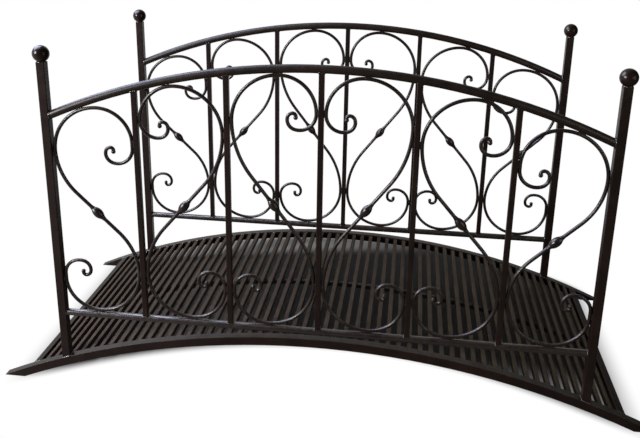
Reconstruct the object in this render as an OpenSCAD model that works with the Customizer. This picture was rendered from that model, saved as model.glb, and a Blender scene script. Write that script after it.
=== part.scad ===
// Arched garden bridge of painted steel with a scrollwork railing on each side.
// Millimetres. X runs along the bridge, Y across it, Z up. The feet stand on Z = 0.

/* [Overall] */
// distance between the end posts of one railing, axis to axis
post_spacing = 1204; // [900:1:1600]
// distance between the two railings, axis to axis
rail_spacing = 605; // [400:1:900]
// how far the tip of each foot lies beyond the post axis
foot_reach = 160; // [120:1:220]
// small gap left where one piece seats on another
seat = 0.3; // [0.2:0.05:0.4]
// radius of the rounded corners of the posts, bars and end bars
corner = 1.5; // [0.5:0.25:2.5]

/* [Stringers and deck] */
// side of the square tube of the stringers and end bars
tube = 20; // [16:0.5:30]
// rise of the stringers from the posts to the middle
arch_rise = 101; // [60:1:140]
// distance of the end bars beyond the post axis
end_bar_reach = 84; // [60:1:100]
// number of slats in the deck, a multiple of four
slat_count = 56; // [40:4:64]
// width of one slat
slat_w = 10; // [6:0.5:14]
// thickness of one slat
slat_t = 10; // [6:0.5:14]
// how far the slats lie below the top of the stringers
slat_drop = 2; // [0:0.5:5]
// side of the support bar under the slats
support = 10; // [6:0.5:14]

/* [Posts and finials] */
// side of the square end posts
post_size = 19; // [15:0.5:26]
// height of the post tops above the top rail's axis at the post
post_above = 121; // [60:1:180]
// diameter of the ball finials
ball_d = 36.5; // [28:0.5:50]
// diameter of the short collar under each ball
collar_d = 20; // [14:0.5:22]
// height of that collar below the ball's underside
collar_h = 2.5; // [0.5:0.5:6]
// depth of the flat that the ball's underside is cut to
ball_flat = 3.5; // [2:0.5:5]

/* [Rails and bars] */
// diameter of the arched top rail
top_rail_d = 18; // [14:0.5:24]
// height of the top rail's axis at the posts above the bottom rail's axis
rail_height = 475; // [420:1:560]
// rise of the top rail from the posts to the middle
top_rail_rise = 130; // [90:1:160]
// diameter of the straight bottom rail
bottom_rail_d = 16; // [12:0.5:20]
// clear height of the bottom rail above the middle of the stringers
bottom_rail_gap = 8.25; // [2:0.25:40]
// side of the square upright bars
bar_size = 12; // [8:0.5:16]

/* [Scrolls] */
// diameter of the scroll rod
rod_d = 8; // [5:0.5:10]
// share of a bay's clear width taken by the radius of the large arc
large_arc = 0.566; // [0.52:0.002:0.62]
// straight run between loop and curl in the four middle bays
curl_drop = 2; // [1.5:0.25:8]
// straight run between loop and curl in the two end bays
end_curl_drop = 11.5; // [1.5:0.25:16]
// radius of the curl's first turn
curl_r = 36; // [32:0.5:40]
// radius of the curl's second turn
mid_r = 21.5; // [18:0.5:25]
// radius of the curl's third turn
inner_r = 12; // [10:0.5:14]
// radius of the curl's last turn
tip_r = 7; // [6:0.5:8]
// diameter of the rounded end of the rod
tip_d = 9.6; // [8:0.1:11]
// how much more than a straight line the middle of the scroll leans
lean = 1.46; // [1.3:0.01:1.6]
// length of the bead at the middle of the scroll
bead_l = 40; // [24:1:48]
// diameter of that bead
bead_d = 20; // [14:0.5:24]
// length over which the rod thickens into the bead, both ends together
bead_taper = 44; // [36:1:60]
// how much the rod would thicken, on its radius, at the middle of the bead
bead_swell = 4.4; // [2:0.2:6]

/* [Hidden] */
$fn = 96;
post_x = post_spacing/2;
rail_y = rail_spacing/2;
// arc of the stringers: top radius and height of its centre
arch_r = (post_x*post_x + arch_rise*arch_rise)/(2*arch_rise);
toe_x = post_x + foot_reach;
arch_cz = -sqrt(arch_r*arch_r - toe_x*toe_x);
// heights of the rails at the posts, and of the post tops
bottom_rail_z = arch_cz + arch_r + bottom_rail_gap + bottom_rail_d/2;
top_rail_z = bottom_rail_z + rail_height;
post_top = top_rail_z + post_above;
// arc of the top rail's axis
rail_r = (post_x*post_x + top_rail_rise*top_rail_rise)/(2*top_rail_rise);
rail_cz = top_rail_z + top_rail_rise - rail_r;
// deck
end_angle = asin((post_x + end_bar_reach)/arch_r);
slat_step = 2*end_angle/(slat_count + 1);
deck_w = rail_spacing - tube;
slat_group = slat_count/4;
slat_r = arch_r - slat_drop - slat_t;
support_r = slat_r - seat - support/2;
// railing bays
bay_w = post_spacing/6;
scroll_low = bottom_rail_z + bottom_rail_d/2 + seat + rod_d/2;
// every second arc of a scroll is a hair thinner and enters the thicker ones by a little
thin_d = rod_d - 0.06;
enter = 0.4;
// angles at which the curl changes from one radius to the next, and where its rod ends
curl_turns = [-105, -195, -260, -380];
loop_limit = rail_r - top_rail_d/2 - seat - rod_d/2;
bead_r = (bead_l*bead_l/4 + bead_d*bead_d/4)/bead_d;
paint = [0.12, 0.1, 0.09];

// section of a square tube with rounded corners
module tube_section(side) {
    flat = side - 2*corner;
    square([side, flat], center = true);
    square([flat, side], center = true);
    for (x = [-1, 1], y = [-1, 1])
        translate([x*flat/2, y*flat/2])
            circle(r = corner, $fn = 48);
}

// part of a ring standing in the XZ plane: from angle a0 through sweep, angles from +X towards +Z
module ring(cx, cz, a0, sweep, steps = 720) {
    translate([cx, 0, cz])
        rotate([90, 0, 0])
            rotate([0, 0, a0])
                rotate_extrude(angle = sweep, $fn = steps)
                    children();
}

// arched stringer with its feet cut off level at the ground
module stringer(y) {
    spare = 2;
    half = asin(toe_x/arch_r) + spare;
    color(paint)
        translate([0, y, 0])
            difference() {
                ring(0, arch_cz, 90 - half, 2*half)
                    translate([arch_r - tube/2, 0])
                        square(tube, center = true);
                translate([-2*toe_x, -tube, -toe_x])
                    cube([4*toe_x, 2*tube, toe_x]);
            }
}

// arched bar under the slats, between the end bars
module centre_support() {
    half = end_angle - asin((tube/2 + seat)/support_r);
    color(paint)
        ring(0, arch_cz, 90 - half, 2*half)
            translate([support_r, 0])
                square(support, center = true);
}

// length across the deck of the section given, its middle at radius r and an angle from the arch's top
module cross_piece(angle, r) {
    translate([0, 0, arch_cz])
        rotate([0, angle, 0])
            translate([0, deck_w/2, r])
                rotate([90, 0, 0])
                    linear_extrude(deck_w)
                        children();
}

module end_bar(side) {
    color(paint)
        cross_piece(side*end_angle, arch_r - tube/2)
            tube_section(tube);
}

// one of the four groups of slats, counted from the left
module slats(group) {
    color(paint)
        for (i = [0 : slat_group - 1])
            cross_piece((group*slat_group + i + 1)*slat_step - end_angle, slat_r + slat_t/2)
                square([slat_w, slat_t], center = true);
}

// square post seated on the arc of its stringer
module post(sx, y) {
    color(paint)
        difference() {
            translate([sx*post_x, y, 0])
                linear_extrude(post_top)
                    tube_section(post_size);
            translate([0, y, arch_cz])
                rotate([90, 0, 0])
                    cylinder(r = arch_r + seat, h = 2*post_size, center = true, $fn = 720);
        }
}

// ball on a short collar
module ball(sx, y) {
    color(paint)
        translate([sx*post_x, y, post_top]) {
            cylinder(d = collar_d, h = collar_h + ball_flat);
            translate([0, 0, collar_h + ball_d/2 - ball_flat])
                difference() {
                    sphere(d = ball_d);
                    translate([0, 0, -ball_d])
                        cube([2*ball_d, 2*ball_d, ball_d + 2*ball_flat], center = true);
                }
        }
}

// arched round rail between the posts
module top_rail(y) {
    half = asin(post_x/rail_r);
    color(paint)
        translate([0, y, 0])
            intersection() {
                ring(0, rail_cz, 90 - half, 2*half)
                    translate([rail_r, 0])
                        circle(d = top_rail_d);
                translate([-post_x + post_size/2, -top_rail_d, 0])
                    cube([post_spacing - post_size, 2*top_rail_d, 2*post_top]);
            }
}

module bottom_rail(y) {
    color(paint)
        translate([0, y, bottom_rail_z])
            rotate([0, 90, 0])
                cylinder(d = bottom_rail_d, h = post_spacing - post_size, center = true);
}

// upright bar with both ends shaped to the rails
module bar(k, y) {
    x = -post_x + k*bay_w;
    rail_at = rail_cz + sqrt(rail_r*rail_r - x*x);
    half = asin(2*bar_size/rail_r);
    color(paint)
        translate([0, y, 0])
            difference() {
                translate([x, 0, bottom_rail_z])
                    linear_extrude(rail_at - bottom_rail_z)
                        tube_section(bar_size);
                translate([x, 0, bottom_rail_z])
                    rotate([0, 90, 0])
                        cylinder(d = bottom_rail_d + 2*seat, h = 3*bar_size, center = true);
                ring(0, rail_cz, 90 - asin(x/rail_r) - half, 2*half)
                    translate([rail_r, 0])
                        circle(d = top_rail_d + 2*seat);
            }
}

// bent length of rod, which runs on by a little at both ends where it enters its neighbours
module rod_arc(c, r, a0, sweep, d, extra = 0) {
    more = extra*180/(PI*r);
    ring(c[0], c[1], a0 - more, sweep + 2*more, 144)
        translate([r, 0])
            circle(d = d, $fn = 48);
}

// direction of an angle from +X towards +Z
function way(angle) = [cos(angle), sin(angle)];

// upper half of a scroll about its middle: a reaches to the bars, h up to the top of the loop,
// drop is the straight run between the loop and the curl
module half_scroll(a, h, drop) {
    r1 = 2*a*large_arc;
    r2 = 2*a - r1;
    y0 = h - r1;
    turn = lean*atan(a/y0);
    r0 = (y0*sin(turn) - a*cos(turn))/(1 - cos(turn));
    c1 = [r1 - a, y0];
    c2 = [r1 - a, h - r2];
    c3 = c2 + [r2 - curl_r, -drop];
    c4 = c3 + (curl_r - mid_r)*way(curl_turns[0]);
    c5 = c4 + (mid_r - inner_r)*way(curl_turns[1]);
    c6 = c5 + (inner_r - tip_r)*way(curl_turns[2]);
    tip = c6 + tip_r*way(curl_turns[3]);
    rod_arc([r0 - a, y0], r0, 180, turn, thin_d, enter);
    rod_arc(c1, r1, 90, 90, rod_d);
    rod_arc(c2, r2, 0, 90, thin_d, enter);
    translate([c2[0] + r2, 0, c2[1] - drop])
        cylinder(d = rod_d, h = drop, $fn = 48);
    rod_arc(c3, curl_r, curl_turns[0], -curl_turns[0], thin_d, enter);
    rod_arc(c4, mid_r, curl_turns[1], curl_turns[0] - curl_turns[1], rod_d);
    rod_arc(c5, inner_r, curl_turns[2], curl_turns[1] - curl_turns[2], thin_d, enter);
    rod_arc(c6, tip_r, curl_turns[3], curl_turns[2] - curl_turns[3], rod_d);
    translate([tip[0], 0, tip[1]])
        sphere(d = tip_d);
}

// spindle-shaped bead along Z, which runs out into the rod in two slow tapers
module bead() {
    rod_r = thin_d/2;
    taper = bead_taper/2;
    rotate_extrude() {
        intersection() {
            translate([bead_d/2 - bead_r, 0])
                circle(r = bead_r);
            translate([0, -bead_l])
                square([bead_d, 2*bead_l]);
        }
        polygon([[0, -taper], [rod_r, -taper], [rod_r + bead_swell, 0], [rod_r, taper], [0, taper]]);
    }
}

// scroll of bay 1, 2 or 3 from the left, which touches both bars, the top rail and the bottom rail
module left_scroll(bay) {
    lean_side = bay == 2 ? -1 : 1;
    left_face = -post_x + (bay - 1)*bay_w + (bay == 1 ? post_size : bar_size)/2;
    right_face = -post_x + bay*bay_w - bar_size/2;
    xc = (left_face + right_face)/2;
    a = (right_face - left_face)/2 - rod_d/2 - seat;
    r1 = 2*a*large_arc;
    r2 = 2*a - r1;
    x_top = xc + lean_side*(r1 - a);
    r_touch = bay == 2 ? r2 : r1;
    rail_room = loop_limit - r_touch;
    z_top = r_touch + rail_cz + sqrt(rail_room*rail_room - x_top*x_top);
    h = (z_top - scroll_low)/2;
    turn = lean*atan(a/(h - r1));
    r0 = ((h - r1)*sin(turn) - a*cos(turn))/(1 - cos(turn));
    run = (a - r0*(1 - cos(turn)))/sin(turn);
    drop = bay == 1 ? end_curl_drop : curl_drop;
    translate([xc, 0, scroll_low + h])
        mirror([bay == 2 ? 1 : 0, 0, 0]) {
            rotate([0, -turn, 0]) {
                cylinder(d = rod_d, h = 2*run, center = true, $fn = 48);
                bead();
            }
            half_scroll(a, h, drop);
            rotate([0, 180, 0])
                half_scroll(a, h, drop);
        }
}

// the right half of each railing is the mirror image of the left half
module scroll(bay, y) {
    color(paint)
        translate([0, y, 0])
            if (bay < 4)
                left_scroll(bay);
            else
                mirror([1, 0, 0])
                    left_scroll(7 - bay);
}

stringer(-rail_y);  // near_stringer
stringer(rail_y);  // far_stringer
centre_support();
end_bar(-1);  // left_end_bar
end_bar(1);  // right_end_bar
slats(0);  // slats_far_left
slats(1);  // slats_mid_left
slats(2);  // slats_mid_right
slats(3);  // slats_far_right
post(-1, -rail_y);  // near_left_post
post(1, -rail_y);  // near_right_post
post(-1, rail_y);  // far_left_post
post(1, rail_y);  // far_right_post
ball(-1, -rail_y);  // near_left_ball
ball(1, -rail_y);  // near_right_ball
ball(-1, rail_y);  // far_left_ball
ball(1, rail_y);  // far_right_ball
top_rail(-rail_y);  // near_top_rail
top_rail(rail_y);  // far_top_rail
bottom_rail(-rail_y);  // near_bottom_rail
bottom_rail(rail_y);  // far_bottom_rail
bar(1, -rail_y);  // near_bar_1
bar(2, -rail_y);  // near_bar_2
bar(3, -rail_y);  // near_bar_3
bar(4, -rail_y);  // near_bar_4
bar(5, -rail_y);  // near_bar_5
bar(1, rail_y);  // far_bar_1
bar(2, rail_y);  // far_bar_2
bar(3, rail_y);  // far_bar_3
bar(4, rail_y);  // far_bar_4
bar(5, rail_y);  // far_bar_5
scroll(1, -rail_y);  // near_scroll_1
scroll(2, -rail_y);  // near_scroll_2
scroll(3, -rail_y);  // near_scroll_3
scroll(4, -rail_y);  // near_scroll_4
scroll(5, -rail_y);  // near_scroll_5
scroll(6, -rail_y);  // near_scroll_6
scroll(1, rail_y);  // far_scroll_1
scroll(2, rail_y);  // far_scroll_2
scroll(3, rail_y);  // far_scroll_3
scroll(4, rail_y);  // far_scroll_4
scroll(5, rail_y);  // far_scroll_5
scroll(6, rail_y);  // far_scroll_6
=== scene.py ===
import math

import bpy
from mathutils import Matrix, Vector


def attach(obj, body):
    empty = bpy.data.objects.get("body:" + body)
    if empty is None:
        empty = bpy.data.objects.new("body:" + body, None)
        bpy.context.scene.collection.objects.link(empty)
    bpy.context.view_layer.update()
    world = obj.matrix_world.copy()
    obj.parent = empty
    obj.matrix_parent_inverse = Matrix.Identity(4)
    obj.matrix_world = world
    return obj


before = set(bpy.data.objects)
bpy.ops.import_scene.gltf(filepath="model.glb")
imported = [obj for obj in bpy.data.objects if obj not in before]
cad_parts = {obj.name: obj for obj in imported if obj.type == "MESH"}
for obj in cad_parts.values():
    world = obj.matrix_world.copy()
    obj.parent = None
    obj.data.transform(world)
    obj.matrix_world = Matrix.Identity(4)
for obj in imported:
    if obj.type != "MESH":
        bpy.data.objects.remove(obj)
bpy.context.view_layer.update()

# Sizes of the bridge in millimetres, as in the part's source
MM = 0.001
POST_X = 602.0
RAIL_Y = 302.5
SEAT = 0.3
TUBE = 20.0
ARCH_RISE = 101.0
FOOT_REACH = 160.0
END_BAR_REACH = 84.0
SLAT_COUNT = 56
SLAT_W = 10.0
SLAT_DROP = 2.0
POST_SIZE = 19.0
POST_ABOVE = 121.0
COLLAR_D = 20.0
TOP_RAIL_D = 18.0
RAIL_HEIGHT = 475.0
TOP_RAIL_RISE = 130.0
BOTTOM_RAIL_D = 16.0
BOTTOM_RAIL_GAP = 8.25
BAR_SIZE = 12.0
ROD_D = 8.0
LARGE_ARC = 0.566
BAYS = 6

# Worked out from them: the arcs of the stringers and of the top rails, the heights, the deck and the bays
ARCH_R = (POST_X**2 + ARCH_RISE**2) / (2 * ARCH_RISE)
ARCH_CZ = -math.sqrt(ARCH_R**2 - (POST_X + FOOT_REACH) ** 2)
BOTTOM_RAIL_Z = ARCH_CZ + ARCH_R + BOTTOM_RAIL_GAP + BOTTOM_RAIL_D / 2
TOP_RAIL_Z = BOTTOM_RAIL_Z + RAIL_HEIGHT
POST_TOP = TOP_RAIL_Z + POST_ABOVE
RAIL_R = (POST_X**2 + TOP_RAIL_RISE**2) / (2 * TOP_RAIL_RISE)
RAIL_CZ = TOP_RAIL_Z + TOP_RAIL_RISE - RAIL_R
END_ANGLE = math.asin((POST_X + END_BAR_REACH) / ARCH_R)
SLAT_STEP = 2 * END_ANGLE / (SLAT_COUNT + 1)
DECK_HALF = RAIL_Y - TUBE / 2
BAY_W = 2 * POST_X / BAYS

# Camera at the photograph's angle, for an image 640 wide and 438 high
IMAGE_W, IMAGE_H = 640, 438
FOCAL_PX = 767.0
PRINCIPAL_Y = 140
SENSOR_MM = 36.0
CAMERA_AT = (0.1804, -1.8292, 1.1020)
YAW, PITCH, ROLL = -6.798, -16.898, 0.991

# Studio: softboxes as name, place, width and height in metres, watts, colour, what they light, and
# whether matt shading, gloss or both show them
SOFTBOXES = (("left_softbox", (-2.6, -2.0, 1.5), (1.0, 1.0), 172, "#ffffff", "bridge", "both"),
             ("right_softbox", (2.4, -1.85, 1.1), (0.9, 0.9), 26, "#dcffcc", "bridge", "matt"),
             ("right_panel", (2.4, -1.85, 1.1), (0.9, 0.9), 60, "#ffffff", "bridge", "gloss"),
             ("back_fill", (0.9, 2.9, 1.2), (1.4, 1.4), 50, "#ffffff", "bridge", "matt"),
             ("top_left_panel", (-1.5, 0.2, 2.1), (1.6, 1.6), 150, "#d3ddff", "bridge", "gloss"),
             ("floor_light", (-3.9, -1.9, 1.4), (0.6, 0.4), 220, "#ffffff", "floor", "matt"))
AIM = (0.0, 0.0, 0.25)
SURROUND = 0.03
FLOOR_HALF = 30.0
FLOOR_DROP = 0.0004
FLOOR_CLOUD_MM = 900
# Gloss sees the white sweep behind the left of the bridge, and a dim room elsewhere
SWEEP_SIDE = (-0.8, 0.55, 0.25)
SWEEP_EDGE = (-0.2, 0.9)
SWEEP_REACH = 1.2
DIM_ROOM = 0.05
# The deck's shadow on the floor: its half sizes and how far it is drawn to the front, in metres, how far it
# leans back as a share of the deck's height, and how soft its edge is; outside it the floor is plain white
SHADE_HALF = (0.71, 0.35)
SHADE_FRONT = 0.02
SHADE_LEAN = 1.8
SHADE_EDGE = (0.93, 1.07)
SHADE_CORNER = 0.2

# Weld beads, in millimetres: their radius at each kind of joint
BAR_FOOT_BEAD = 1.7
BAR_TOP_BEAD = 1.6
POST_FOOT_BEAD = 2.1
TOP_RAIL_BEAD = 1.9
BOTTOM_RAIL_BEAD = 1.8
BALL_BEAD = 1.1
SCROLL_BEAD = 1.5
SLAT_BEAD = 1.2
END_BAR_BEAD = 1.5
# where their runs lie on the pieces
BAR_BEAD_OUT = 0.2
POST_BEAD_OUT = 0.1
POST_BEAD_LIFT = 0.3
BALL_BEAD_IN = 0.4
BALL_BEAD_LIFT = 0.2
SCROLL_BEAD_REACH = 7.0
SCROLL_BEAD_DEPTH = 2.7
END_BAR_BEAD_DROP = 0.6
DECK_BEAD_IN = 0.3
DECK_BEAD_SHORT = 1.0
# and how they are made: the ripple's depth and the lumps are shares of the radius
BEAD_SPACING = 1.3
BEAD_RIPPLE = 3.4
BEAD_RIPPLE_DEPTH = 0.13
BEAD_LUMPS = (0.85, 1.15)
BEAD_UNEVEN = 0.12
BEAD_SIDES = 6
BEAD_SEED = 7

# Enamel: sizes of its patterns in millimetres
CLOUD_MM = 70
SCUFF_MM = 22
DUST_AND_TOP_LIGHT_PATCH_MM = 35
CORNER_MM = 1.6
# most of a noise lies in this range; scuffs show from a higher one, up to a share of the bare colour
NOISE_LOW, NOISE_HIGH = 0.3, 0.7
SCUFF_FROM = 0.45
SCUFF_MOST = 0.6
# how square a face is to its rounded corner where wear starts and is full, and to the sky where dust and
# painted top light do
WEAR_FACING = (0.99, 0.8)
DUST_AND_TOP_LIGHT_FACING = (0.45, 0.98)
# how much dust and scuffs change the roughness, how far the orange peel shows, and how much of a slat's
# tone is its own
DUST_DULLS = 0.5
SCUFF_GLOSS = (-0.06, 0.1)
PEEL_STRENGTH = 0.6
SLAT_SHARE = 0.6
# colours that most of the finishes share: edges rubbed by hands and feet, and garden dust, which on top
# faces also stands in as painted light
RUBBED = "#4d3a2d"
DUST_AND_TOP_LIGHT = "#57504a"


def linear(hex_colour):
    """An sRGB hex colour as linear RGBA."""
    parts = [int(hex_colour[i:i + 2], 16) / 255 for i in (1, 3, 5)]
    return [c / 12.92 if c <= 0.04045 else ((c + 0.055) / 1.055) ** 2.4 for c in parts] + [1.0]


def add(tree, kind, inputs=None, **settings):
    """Adds a node with its settings; inputs are values, or sockets to link from, by name or number."""
    made = tree.nodes.new(kind)
    for key, value in settings.items():
        setattr(made, key, value)
    for key, value in (inputs or {}).items():
        if isinstance(value, bpy.types.NodeSocket):
            tree.links.new(value, made.inputs[key])
        else:
            made.inputs[key].default_value = value
    return made


def per_metre(size_mm):
    """Scale of a noise whose features are about size_mm across."""
    return 1 / (size_mm * MM)


def tone_of_each_slat(tree, place):
    """A number from 0 to 1 for each slat, found from where the slat lies on the arch."""
    axes = add(tree, "ShaderNodeSeparateXYZ", {0: place})
    height = add(tree, "ShaderNodeMath", {0: axes.outputs["Z"], 1: ARCH_CZ * MM}, operation="SUBTRACT")
    angle = add(tree, "ShaderNodeMath", {0: axes.outputs["X"], 1: height.outputs[0]}, operation="ARCTAN2")
    steps = add(tree, "ShaderNodeMath", {0: angle.outputs[0], 1: SLAT_STEP}, operation="DIVIDE")
    # slats lie half a step either side of the middle of the arch
    count = add(tree, "ShaderNodeMath", {0: steps.outputs[0]}, operation="FLOOR")
    return add(tree, "ShaderNodeTexWhiteNoise", {"W": count.outputs[0]},
               noise_dimensions="1D").outputs["Value"]


def enamel(name, deep, pale, rubbed, dust_and_top_light, dust_and_top_light_share, roughness, specular, grain_mm, grain_depth_mm,
           each_slat=False):
    """Brown-black enamel on steel: cloudy tone, orange peel, edges rubbed paler, dust and painted top light
    on upper faces.
    """
    made = bpy.data.materials.new(name)
    made.use_nodes = True
    tree = made.node_tree
    tree.nodes.clear()
    place = add(tree, "ShaderNodeTexCoord").outputs["Object"]
    facing = add(tree, "ShaderNodeNewGeometry").outputs["Normal"]

    clouds = add(tree, "ShaderNodeTexNoise",
                 {"Vector": place, "Scale": per_metre(CLOUD_MM), "Detail": 4.0, "Roughness": 0.6})
    tone = add(tree, "ShaderNodeMapRange",
               {"Value": clouds.outputs[0], "From Min": NOISE_LOW, "From Max": NOISE_HIGH}).outputs[0]
    if each_slat:
        own = tone_of_each_slat(tree, place)
        tone = add(tree, "ShaderNodeMix", {0: SLAT_SHARE, 2: tone, 3: own}).outputs[0]
    paint = add(tree, "ShaderNodeMix", {0: tone, 6: linear(deep), 7: linear(pale)}, data_type="RGBA")

    # rounded corners catch the light and lose some of their colour
    corner = add(tree, "ShaderNodeBevel", {"Radius": CORNER_MM * MM}, samples=4).outputs[0]
    turn = add(tree, "ShaderNodeVectorMath", {0: corner, 1: facing}, operation="DOT_PRODUCT")
    edge = add(tree, "ShaderNodeMapRange",
               {"Value": turn.outputs["Value"], "From Min": WEAR_FACING[0], "From Max": WEAR_FACING[1]})
    scuffs = add(tree, "ShaderNodeTexNoise",
                 {"Vector": place, "Scale": per_metre(SCUFF_MM), "Detail": 5.0, "Roughness": 0.7})
    scuffed = add(tree, "ShaderNodeMapRange",
                  {"Value": scuffs.outputs[0], "From Min": SCUFF_FROM, "From Max": NOISE_HIGH,
                   "To Max": SCUFF_MOST})
    wear = add(tree, "ShaderNodeMath", {0: edge.outputs[0], 1: scuffed.outputs[0]}, operation="MULTIPLY")
    worn = add(tree, "ShaderNodeMix",
               {0: wear.outputs[0], 6: paint.outputs[2], 7: linear(rubbed)}, data_type="RGBA")

    # paler dust in patches on what looks up; this is partly painted light, standing in for light falling on
    # top faces
    up = add(tree, "ShaderNodeSeparateXYZ", {0: facing}).outputs["Z"]
    level = add(tree, "ShaderNodeMapRange",
                {"Value": up, "From Min": DUST_AND_TOP_LIGHT_FACING[0], "From Max": DUST_AND_TOP_LIGHT_FACING[1]})
    patches = add(tree, "ShaderNodeTexNoise",
                  {"Vector": place, "Scale": per_metre(DUST_AND_TOP_LIGHT_PATCH_MM), "Detail": 6.0, "Roughness": 0.65})
    patchy = add(tree, "ShaderNodeMapRange",
                 {"Value": patches.outputs[0], "From Min": NOISE_LOW, "From Max": NOISE_HIGH,
                  "To Max": dust_and_top_light_share})
    dust_and_top_light_mask = add(tree, "ShaderNodeMath", {0: level.outputs[0], 1: patchy.outputs[0]}, operation="MULTIPLY")
    colour = add(tree, "ShaderNodeMix",
                 {0: dust_and_top_light_mask.outputs[0], 6: worn.outputs[2], 7: linear(dust_and_top_light)}, data_type="RGBA")

    gloss = add(tree, "ShaderNodeMapRange",
                {"Value": scuffs.outputs[0], "From Min": NOISE_LOW, "From Max": NOISE_HIGH,
                 "To Min": roughness + SCUFF_GLOSS[0], "To Max": roughness + SCUFF_GLOSS[1]})
    dulled = add(tree, "ShaderNodeMath",
                 {0: dust_and_top_light_mask.outputs[0], 1: DUST_DULLS, 2: gloss.outputs[0]}, operation="MULTIPLY_ADD")
    # the real orange peel is under 1 mm and would not show, so it is drawn at grain_mm
    peel = add(tree, "ShaderNodeTexNoise",
               {"Vector": place, "Scale": per_metre(grain_mm), "Detail": 2.0})
    skin = add(tree, "ShaderNodeBump",
               {"Strength": PEEL_STRENGTH, "Distance": grain_depth_mm * MM,
                "Height": peel.outputs[0], "Normal": corner})
    shader = add(tree, "ShaderNodeBsdfPrincipled",
                 {"Base Color": colour.outputs[2], "Roughness": dulled.outputs[0],
                  "Normal": skin.outputs[0], "IOR": 1.5, "Specular IOR Level": specular})
    add(tree, "ShaderNodeOutputMaterial", {"Surface": shader.outputs[0]})
    return made


# Stove enamel on square tube, that is stringers, posts and bars: even, satin, near black with a brown cast
frame_enamel = enamel("tube_enamel", "#140b09", "#201512", RUBBED, DUST_AND_TOP_LIGHT, dust_and_top_light_share=0.2,
                      roughness=0.3, specular=0.15, grain_mm=3.0, grain_depth_mm=0.12)
# The same enamel on the end bars, with little dust and painted top light and a duller gloss, so that their
# tops stay dark
bar_enamel = enamel("end_bar_enamel", "#130b08", "#1e130e", RUBBED, "#4a443f", dust_and_top_light_share=0.04,
                    roughness=0.4, specular=0.08, grain_mm=3.0, grain_depth_mm=0.12)
# The same enamel on the top rails: hands have dulled it, so that a broad soft line runs along the top
rail_enamel = enamel("held_rail_enamel", "#130b08", "#20150f", RUBBED, DUST_AND_TOP_LIGHT, dust_and_top_light_share=0.12,
                     roughness=0.38, specular=0.2, grain_mm=3.0, grain_depth_mm=0.12)
# The same enamel on the bottom rails: as glossy as when new, so that a bright line runs along the top
low_rail_enamel = enamel("low_rail_enamel", "#130b08", "#20150f", RUBBED, DUST_AND_TOP_LIGHT, dust_and_top_light_share=0.08,
                         roughness=0.25, specular=0.75, grain_mm=3.0, grain_depth_mm=0.03)
# The same enamel on pressed balls: smooth, so that lamps show in it as small bright spots
ball_enamel = enamel("ball_enamel", "#130a08", "#1f110d", RUBBED, DUST_AND_TOP_LIGHT, dust_and_top_light_share=0.04,
                     roughness=0.2, specular=0.18, grain_mm=6.0, grain_depth_mm=0.1)
# The same enamel over hot-bent rod: mill scale under it leaves a slightly lumpy skin
rod_enamel = enamel("bent_rod_enamel", "#130b09", "#201511", "#4d3c32", DUST_AND_TOP_LIGHT, dust_and_top_light_share=0.12,
                    roughness=0.26, specular=0.32, grain_mm=5.0, grain_depth_mm=0.35)
# Enamel walked on: duller, greyer and dusty on top, each slat a little different; it is paler than the
# frame's enamel, partly as painted light on the deck's top
slat_paint_and_top_light = enamel("walked_slats_and_painted_top_light", "#281f19", "#3c3028", "#54443a", "#5f5348", dust_and_top_light_share=0.45,
                     roughness=0.46, specular=0.07, grain_mm=2.5, grain_depth_mm=0.15, each_slat=True)
# Enamel over weld metal: thick and glossy on the ripples
weld_enamel = enamel("weld_enamel", "#150d0a", "#231812", "#4d3d33", DUST_AND_TOP_LIGHT, dust_and_top_light_share=0.1,
                     roughness=0.2, specular=0.7, grain_mm=2.0, grain_depth_mm=0.2)


def arch_z(x):
    """Height of the top of the stringers."""
    return ARCH_CZ + math.sqrt(ARCH_R**2 - x * x)


def rail_z(x):
    """Height of the top rail's axis."""
    return RAIL_CZ + math.sqrt(RAIL_R**2 - x * x)


def rail_stretch(x):
    """How much taller than round the sloping top rail is where an upright plane cuts it."""
    return RAIL_R / math.sqrt(RAIL_R**2 - x * x)


def square_walk(half, steps=4):
    """Points round a square, in order, without its last point."""
    corners = [(-half, -half), (half, -half), (half, half), (-half, half)]
    return [(ax + (bx - ax) * i / steps, ay + (by - ay) * i / steps)
            for (ax, ay), (bx, by) in zip(corners, corners[1:] + corners[:1]) for i in range(steps)]


def round_walk(radius, steps=20):
    """Points round a circle, in order, without its last point."""
    return [(radius * math.cos(math.tau * i / steps), radius * math.sin(math.tau * i / steps))
            for i in range(steps)]


def bar_beads():
    """Runs round both ends of each upright bar, where it sits on the rails."""
    runs = []
    low_r, top_r = BOTTOM_RAIL_D / 2, TOP_RAIL_D / 2
    for y in (-RAIL_Y, RAIL_Y):
        for k in range(1, BAYS):
            x = -POST_X + k * BAY_W
            walk = square_walk(BAR_SIZE / 2 + BAR_BEAD_OUT)
            runs.append(([(x + dx, y + dy, BOTTOM_RAIL_Z + math.sqrt(low_r**2 - dy * dy))
                          for dx, dy in walk], True, BAR_FOOT_BEAD))
            runs.append(([(x + dx, y + dy,
                           rail_z(x + dx) - math.sqrt(top_r**2 - dy * dy) * rail_stretch(x + dx))
                          for dx, dy in walk], True, BAR_TOP_BEAD))
    return runs


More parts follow.
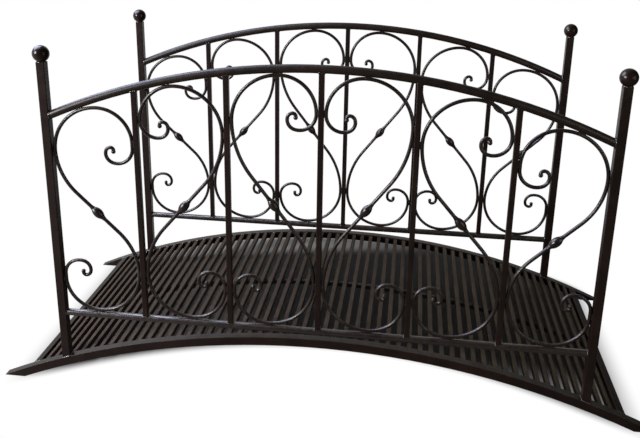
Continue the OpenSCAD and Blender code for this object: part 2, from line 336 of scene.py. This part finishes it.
def post_beads():
    """Runs at each post: round its foot, round both rails and under its ball."""
    runs = []
    for y in (-RAIL_Y, RAIL_Y):
        for side in (-1, 1):
            x = side * POST_X
            face = side * (POST_X - POST_SIZE / 2)
            runs.append(([(x + dx, y + dy, arch_z(x + dx) + POST_BEAD_LIFT)
                          for dx, dy in square_walk(POST_SIZE / 2 + POST_BEAD_OUT)], True, POST_FOOT_BEAD))
            runs.append(([(face, y + u, rail_z(face) + v * rail_stretch(face))
                          for u, v in round_walk(TOP_RAIL_D / 2)], True, TOP_RAIL_BEAD))
            runs.append(([(face, y + u, BOTTOM_RAIL_Z + v)
                          for u, v in round_walk(BOTTOM_RAIL_D / 2)], True, BOTTOM_RAIL_BEAD))
            runs.append(([(x + u, y + v, POST_TOP + BALL_BEAD_LIFT)
                          for u, v in round_walk(COLLAR_D / 2 - BALL_BEAD_IN)], True, BALL_BEAD))
    return runs


def scroll_touches(bay):
    """Where a left scroll touches its bars and rails: each place and the way the joint runs, in X and Z."""
    left = -POST_X + (bay - 1) * BAY_W + (POST_SIZE if bay == 1 else BAR_SIZE) / 2
    right = -POST_X + bay * BAY_W - BAR_SIZE / 2
    middle, reach = (left + right) / 2, (right - left) / 2 - ROD_D / 2 - SEAT
    big, small = 2 * reach * LARGE_ARC, 2 * reach * (1 - LARGE_ARC)
    hand = -1 if bay == 2 else 1
    low = BOTTOM_RAIL_Z + BOTTOM_RAIL_D / 2 + SEAT + ROD_D / 2
    x_top = middle + hand * (big - reach)
    touching = small if bay == 2 else big
    room = RAIL_R - TOP_RAIL_D / 2 - SEAT - ROD_D / 2 - touching
    top = touching + RAIL_CZ + math.sqrt(room**2 - x_top**2)
    half = (top - low) / 2
    centre = low + half
    upright = Vector((0, 1))
    out = Vector((x_top, math.sqrt(room**2 - x_top**2))).normalized()
    on_rail = out * (RAIL_R - TOP_RAIL_D / 2) + Vector((0, RAIL_CZ))
    side = reach + ROD_D / 2
    return [
        (Vector((middle - hand * side, centre + half - big)), upright),
        (Vector((middle + hand * side, centre + half - small)), upright),
        (Vector((middle + hand * side, centre - half + big)), upright),
        (Vector((middle - hand * side, centre - half + small)), upright),
        (on_rail, Vector((out.y, -out.x))),
        (Vector((middle - hand * (big - reach), low - ROD_D / 2)), Vector((1, 0))),
    ]


def scroll_beads():
    """Two short runs, front and back, at each place where a scroll touches a bar or rail."""
    runs = []
    for bay in (1, 2, 3):
        for spot, along in scroll_touches(bay):
            for mirror in (-1, 1):
                for y in (-RAIL_Y, RAIL_Y):
                    for side in (-1, 1):
                        depth = y + side * SCROLL_BEAD_DEPTH
                        ends = [spot + along * (SCROLL_BEAD_REACH * t) for t in (-1, -0.5, 0, 0.5, 1)]
                        runs.append(([(mirror * p.x, depth, p.y) for p in ends], False, SCROLL_BEAD))
    return runs


def deck_beads():
    """Short runs where slats and end bars meet the stringers."""
    runs = []
    for side in (-1, 1):
        for i in range(SLAT_COUNT):
            angle = (i + 1) * SLAT_STEP - END_ANGLE
            runs.append((deck_run(angle, ARCH_R - SLAT_DROP, SLAT_W, side), False, SLAT_BEAD))
        for end in (-1, 1):
            runs.append((deck_run(end * END_ANGLE, ARCH_R - END_BAR_BEAD_DROP, TUBE, side),
                         False, END_BAR_BEAD))
    return runs


def deck_run(angle, radius, width, side):
    """Points along one end of a cross piece of the deck."""
    half = width / 2 - DECK_BEAD_SHORT
    points = []
    for t in (-1, 0, 1):
        x = radius * math.sin(angle) + t * half * math.cos(angle)
        z = ARCH_CZ + radius * math.cos(angle) - t * half * math.sin(angle)
        points.append((x, side * (DECK_HALF - DECK_BEAD_IN), z))
    return points


def bead_tree():
    """Geometry Nodes: turns runs of points into rippled weld beads."""
    tree = bpy.data.node_groups.new("weld_bead_runs", "GeometryNodeTree")
    sockets = tree.interface
    sockets.new_socket("Runs", in_out="INPUT", socket_type="NodeSocketGeometry")
    for name in ("Spacing", "Ripple", "Ripple Depth", "Unevenness"):
        sockets.new_socket(name, in_out="INPUT", socket_type="NodeSocketFloat")
    sockets.new_socket("Sides", in_out="INPUT", socket_type="NodeSocketInt")
    sockets.new_socket("Seed", in_out="INPUT", socket_type="NodeSocketInt")
    sockets.new_socket("Paint", in_out="INPUT", socket_type="NodeSocketMaterial")
    sockets.new_socket("Beads", in_out="OUTPUT", socket_type="NodeSocketGeometry")
    given = add(tree, "NodeGroupInput").outputs

    curves = add(tree, "GeometryNodeMeshToCurve", {"Mesh": given["Runs"]})
    even = add(tree, "GeometryNodeResampleCurve",
               {"Curve": curves.outputs[0], "Length": given["Spacing"]}, mode="LENGTH")
    along = add(tree, "GeometryNodeSplineParameter").outputs["Length"]
    turns = add(tree, "ShaderNodeMath", {0: along, 1: given["Ripple"]}, operation="DIVIDE")
    angle = add(tree, "ShaderNodeMath", {0: turns.outputs[0], 1: math.tau}, operation="MULTIPLY")
    wave = add(tree, "ShaderNodeMath", {0: angle.outputs[0]}, operation="SINE")
    swell = add(tree, "ShaderNodeMath",
                {0: wave.outputs[0], 1: given["Ripple Depth"], 2: 1.0}, operation="MULTIPLY_ADD")
    lumps = add(tree, "FunctionNodeRandomValue",
                {2: BEAD_LUMPS[0], 3: BEAD_LUMPS[1], "Seed": given["Seed"]}, data_type="FLOAT")
    size = add(tree, "GeometryNodeInputNamedAttribute", {"Name": "bead_size"}, data_type="FLOAT")
    swollen = add(tree, "ShaderNodeMath", {0: size.outputs[0], 1: swell.outputs[0]}, operation="MULTIPLY")
    radius = add(tree, "ShaderNodeMath", {0: swollen.outputs[0], 1: lumps.outputs[1]}, operation="MULTIPLY")
    ring = add(tree, "GeometryNodeCurvePrimitiveCircle", {"Resolution": given["Sides"], "Radius": 1.0})
    beads = add(tree, "GeometryNodeCurveToMesh",
                {"Curve": even.outputs[0], "Profile Curve": ring.outputs[0], "Scale": radius.outputs[0],
                 "Fill Caps": True})
    plus = add(tree, "ShaderNodeCombineXYZ", {axis: given["Unevenness"] for axis in range(3)})
    minus = add(tree, "ShaderNodeVectorMath", {0: plus.outputs[0], "Scale": -1.0}, operation="SCALE")
    shove = add(tree, "FunctionNodeRandomValue",
                {0: minus.outputs[0], 1: plus.outputs[0], "Seed": given["Seed"]}, data_type="FLOAT_VECTOR")
    uneven = add(tree, "GeometryNodeSetPosition", {"Geometry": beads.outputs[0], "Offset": shove.outputs[0]})
    smooth = add(tree, "GeometryNodeSetShadeSmooth", {"Geometry": uneven.outputs[0]})
    real = add(tree, "GeometryNodeRealizeInstances", {"Geometry": smooth.outputs[0]})
    painted = add(tree, "GeometryNodeSetMaterial", {"Geometry": real.outputs[0], "Material": given["Paint"]})
    add(tree, "NodeGroupOutput", {"Beads": painted.outputs[0]})
    return tree


def lay_beads(name, tree, runs):
    """Lays weld beads along the runs and keeps them as one plain mesh."""
    points, edges, sizes = [], [], []
    for run, closed, size in runs:
        first = len(points)
        points += [tuple(c * MM for c in p) for p in run]
        sizes += [size * MM] * len(run)
        edges += [(first + i, first + i + 1) for i in range(len(run) - 1)]
        if closed:
            edges.append((first + len(run) - 1, first))
    lines = bpy.data.meshes.new(name + "_lines")
    lines.from_pydata(points, edges, [])
    lines.attributes.new("bead_size", "FLOAT", "POINT").data.foreach_set("value", sizes)
    piece = bpy.data.objects.new(name, lines)
    bpy.context.scene.collection.objects.link(piece)
    grow = piece.modifiers.new("beads", "NODES")
    grow.node_group = tree
    wanted = {"Spacing": BEAD_SPACING * MM, "Ripple": BEAD_RIPPLE * MM, "Ripple Depth": BEAD_RIPPLE_DEPTH,
              "Unevenness": BEAD_UNEVEN * MM, "Sides": BEAD_SIDES, "Seed": BEAD_SEED, "Paint": weld_enamel}
    for item in tree.interface.items_tree:
        if item.name in wanted:
            grow[item.identifier] = wanted[item.name]
    dust_and_top_light_mask = piece.evaluated_get(bpy.context.evaluated_depsgraph_get())
    mesh = bpy.data.meshes.new_from_object(dust_and_top_light_mask)
    piece.modifiers.remove(grow)
    piece.data = mesh
    mesh.name = name
    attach(piece, "root")
    return piece


beads = bead_tree()
welds = [lay_beads("railing_welds", beads, bar_beads() + post_beads() + scroll_beads()),
         lay_beads("deck_welds", beads, deck_beads())]

# Finishes of the frame's own pieces, by the first of these words in their names; the rest is square tube
FINISHES = (("slats", slat_paint_and_top_light), ("scroll", rod_enamel), ("bottom_rail", low_rail_enamel),
            ("top_rail", rail_enamel), ("ball", ball_enamel), ("end_bar", bar_enamel))
for name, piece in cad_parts.items():
    finish = next((paint for word, paint in FINISHES if word in name), frame_enamel)
    for slot in piece.material_slots:
        slot.material = finish


def seen_directly(tree, path):
    """1 for rays that come from the camera, straight or through something clear."""
    return add(tree, "ShaderNodeMath",
               {0: path["Is Camera Ray"], 1: path["Is Transmission Ray"]}, operation="MAXIMUM").outputs[0]


def beyond_shadow(tree, place):
    """0 where the arched deck's shadow lies on the floor, 1 well outside it."""
    axes = add(tree, "ShaderNodeSeparateXYZ", {0: place}).outputs
    square = add(tree, "ShaderNodeMath", {0: axes["X"], 1: axes["X"]}, operation="MULTIPLY")
    bend = SHADE_LEAN / (2 * ARCH_R * MM)
    bow = add(tree, "ShaderNodeMath",
              {0: square.outputs[0], 1: bend, 2: axes["Y"]}, operation="MULTIPLY_ADD")
    middle = SHADE_LEAN * (ARCH_R + ARCH_CZ) * MM - SHADE_FRONT
    across = add(tree, "ShaderNodeMath", {0: bow.outputs[0], 1: middle}, operation="SUBTRACT")
    offset = add(tree, "ShaderNodeCombineXYZ", {0: axes["X"], 1: across.outputs[0]})
    share = add(tree, "ShaderNodeVectorMath",
                {0: offset.outputs[0], 1: (*SHADE_HALF, 1)}, operation="DIVIDE")
    size = add(tree, "ShaderNodeVectorMath", {0: share.outputs[0]}, operation="ABSOLUTE")
    sides = add(tree, "ShaderNodeSeparateXYZ", {0: size.outputs[0]}).outputs
    edge = add(tree, "ShaderNodeMath",
               {0: sides["X"], 1: sides["Y"], 2: SHADE_CORNER}, operation="SMOOTH_MAX")
    return add(tree, "ShaderNodeMapRange",
               {"Value": edge.outputs[0], "From Min": SHADE_EDGE[0], "From Max": SHADE_EDGE[1]},
               interpolation_type="SMOOTHSTEP").outputs[0]


def studio_floor():
    """Wide pale floor that keeps the bridge's shadow and runs out into plain white."""
    mesh = bpy.data.meshes.new("studio_floor")
    corners = [(x * FLOOR_HALF, y * FLOOR_HALF, -FLOOR_DROP)
               for x, y in ((-1, -1), (1, -1), (1, 1), (-1, 1))]
    mesh.from_pydata(corners, [], [(0, 1, 2, 3)])
    floor = bpy.data.objects.new("studio_floor", mesh)
    bpy.context.scene.collection.objects.link(floor)
    made = bpy.data.materials.new("pale_floor")
    made.use_nodes = True
    tree = made.node_tree
    tree.nodes.clear()
    place = add(tree, "ShaderNodeTexCoord").outputs["Object"]
    path = add(tree, "ShaderNodeLightPath").outputs
    faint = add(tree, "ShaderNodeTexNoise",
                {"Vector": place, "Scale": per_metre(FLOOR_CLOUD_MM), "Detail": 2.0})
    pale = add(tree, "ShaderNodeMix",
               {0: faint.outputs[0], 6: linear("#bcbcbc"), 7: linear("#c4c4c4")}, data_type="RGBA")
    matt = add(tree, "ShaderNodeBsdfDiffuse", {"Color": pale.outputs[2]})
    towards = add(tree, "ShaderNodeVectorMath", {0: place, 1: SWEEP_SIDE}, operation="DOT_PRODUCT")
    swept = add(tree, "ShaderNodeMapRange", {"Value": towards.outputs["Value"], "From Max": SWEEP_REACH})
    mirrored = add(tree, "ShaderNodeMath",
                   {0: swept.outputs[0], 1: path["Is Glossy Ray"]}, operation="MULTIPLY")
    shown = add(tree, "ShaderNodeMath",
                {0: mirrored.outputs[0], 1: seen_directly(tree, path)}, operation="MAXIMUM")
    white = add(tree, "ShaderNodeMath",
                {0: beyond_shadow(tree, place), 1: shown.outputs[0]}, operation="MULTIPLY")
    bright = add(tree, "ShaderNodeEmission", {"Color": linear("#ffffff"), "Strength": 1.0})
    mixed = add(tree, "ShaderNodeMixShader", {0: white.outputs[0], 1: matt.outputs[0], 2: bright.outputs[0]})
    add(tree, "ShaderNodeOutputMaterial", {"Surface": mixed.outputs[0]})
    mesh.materials.append(made)
    return floor


def studio_light(floor):
    """Softboxes round the bridge, and a dim surround that the camera sees as white."""
    lit = {"bridge": [*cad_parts.values(), *welds], "floor": [floor]}
    groups = {name: bpy.data.collections.new(name) for name in lit}
    for name, group in groups.items():
        for piece in lit[name]:
            group.objects.link(piece)
    for name, spot, face, watts, colour, target, shading in SOFTBOXES:
        lamp = bpy.data.lights.new(name, "AREA")
        lamp.shape = "RECTANGLE"
        lamp.size, lamp.size_y = face
        lamp.energy = watts
        lamp.color = linear(colour)[:3]
        holder = bpy.data.objects.new(name, lamp)
        holder.location = spot
        holder.rotation_euler = (Vector(spot) - Vector(AIM)).to_track_quat("Z", "Y").to_euler()
        holder.visible_camera = False
        holder.visible_diffuse = shading != "gloss"
        holder.visible_glossy = shading != "matt"
        holder.light_linking.receiver_collection = groups[target]
        bpy.context.scene.collection.objects.link(holder)
    world = bpy.data.worlds.new("studio")
    world.use_nodes = True
    tree = world.node_tree
    tree.nodes.clear()
    path = add(tree, "ShaderNodeLightPath").outputs
    heading = add(tree, "ShaderNodeTexCoord").outputs["Generated"]
    towards = add(tree, "ShaderNodeVectorMath", {0: heading, 1: SWEEP_SIDE}, operation="DOT_PRODUCT")
    sweep = add(tree, "ShaderNodeMapRange",
                {"Value": towards.outputs["Value"], "From Min": SWEEP_EDGE[0], "From Max": SWEEP_EDGE[1],
                 "To Min": DIM_ROOM}, interpolation_type="SMOOTHSTEP")
    mirrored = add(tree, "ShaderNodeMapRange",
                   {"Value": path["Is Glossy Ray"], "To Min": SURROUND, "To Max": sweep.outputs[0]})
    strength = add(tree, "ShaderNodeMath",
                   {0: mirrored.outputs[0], 1: seen_directly(tree, path)}, operation="MAXIMUM")
    sky = add(tree, "ShaderNodeBackground", {"Color": linear("#ffffff"), "Strength": strength.outputs[0]})
    add(tree, "ShaderNodeOutputWorld", {"Surface": sky.outputs[0]})
    bpy.context.scene.world = world


def photo_camera():
    """Camera where the photograph was taken from; its frame is the lower part of a wider view."""
    yaw, pitch, roll = (math.radians(v) for v in (YAW, PITCH, ROLL))
    ahead = Vector((math.sin(yaw) * math.cos(pitch), math.cos(yaw) * math.cos(pitch), math.sin(pitch)))
    level = Vector((math.cos(yaw), -math.sin(yaw), 0))
    above = level.cross(ahead)
    right = level * math.cos(roll) + above * math.sin(roll)
    up = above * math.cos(roll) - level * math.sin(roll)
    lens = bpy.data.cameras.new("photo_camera")
    lens.sensor_width = SENSOR_MM
    lens.lens = FOCAL_PX * SENSOR_MM / IMAGE_W
    lens.shift_y = (PRINCIPAL_Y - IMAGE_H / 2) / IMAGE_W
    camera = bpy.data.objects.new("photo_camera", lens)
    turned = Matrix((right, up, -ahead)).transposed().to_4x4()
    camera.matrix_world = Matrix.Translation(CAMERA_AT) @ turned
    bpy.context.scene.collection.objects.link(camera)
    bpy.context.scene.camera = camera


studio_light(studio_floor())
photo_camera()
bpy.context.scene.view_settings.view_transform = "Standard"
